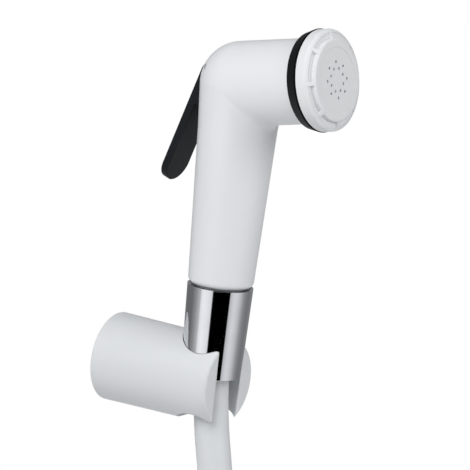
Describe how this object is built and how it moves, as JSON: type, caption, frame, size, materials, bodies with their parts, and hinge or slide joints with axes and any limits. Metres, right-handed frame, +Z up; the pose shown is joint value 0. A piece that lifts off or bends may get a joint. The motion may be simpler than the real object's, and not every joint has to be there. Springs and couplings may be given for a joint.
{
  "type": "handheld bidet shower",
  "caption": "Elbow-shaped trigger spray handset standing in a round wall holder, with chrome cone nut and a white hose tied in a coil.",
  "frame": {"origin": "centre of the holder's back face, which lies on the wall", "axes": "+Y points into the wall, -Y out of it, +X to the right when one looks at the wall, +Z up along the handset's handle"},
  "size_m": [0.1799, 0.0931, 0.4018],
  "materials": {
    "white_plastic": "semi-gloss moulded",
    "black_plastic": "satin moulded",
    "grey_plastic": "moulded acetal",
    "chrome": "polished",
    "brass": "turned",
    "steel": "drawn",
    "zinc": "die cast",
    "rubber": "smooth",
    "hose_plastic": "smooth extruded"
  },
  "bodies": {
    "base": {"holder_body": "white_plastic", "wall_plate": "zinc", "grub_screw": "steel", "handset_body": "white_plastic", "spray_cap": "white_plastic", "trim_ring": "black_plastic", "lever_pin": "steel", "gland_nut": "brass", "gland_ring": "rubber", "valve_seat": "grey_plastic", "seat_ring": "rubber", "valve_spring": "steel", "spring_carrier": "grey_plastic", "cap_gasket": "rubber", "hose_sleeve": "chrome", "hose_top_washer": "rubber", "hose_top_tail": "brass", "hose_top_ferrule": "white_plastic", "hose": "hose_plastic", "hose_coil": "hose_plastic", "hose_end": "hose_plastic", "hose_tie": "black_plastic", "supply_ferrule": "white_plastic", "supply_tail": "brass", "supply_washer": "rubber"},
    "lever": {"trigger_lever": "black_plastic"},
    "stem": {"valve_stem": "brass", "valve_seal": "rubber", "stem_clip": "steel"},
    "supply_nut": {"end_nut": "chrome"}
  },
  "joints": [
    {"name": "lever_press", "type": "hinge", "parent": "base", "child": "lever", "pos_m": [0, -0.0346, 0.1268], "axis": [-1, 0, 0], "range_deg": [0, 8], "stiffness_Nm_per_rad": 0.105, "springref_deg": -27.85},
    {"name": "stem_lift", "type": "slide", "parent": "base", "child": "stem", "axis": [0, -0.9763, 0.2164], "range_m": [0, 0.00115], "deforming": ["valve_spring"]},
    {"name": "nut_spin", "type": "hinge", "parent": "base", "child": "supply_nut", "pos_m": [-0.0025, -0.0326, -0.243], "axis": [0, 0, -1], "continuous": true}
  ],
  "couplings": [
    {"joint": "stem_lift", "follows": "lever_press", "m_per_rad": 0.0082276}
  ]
}
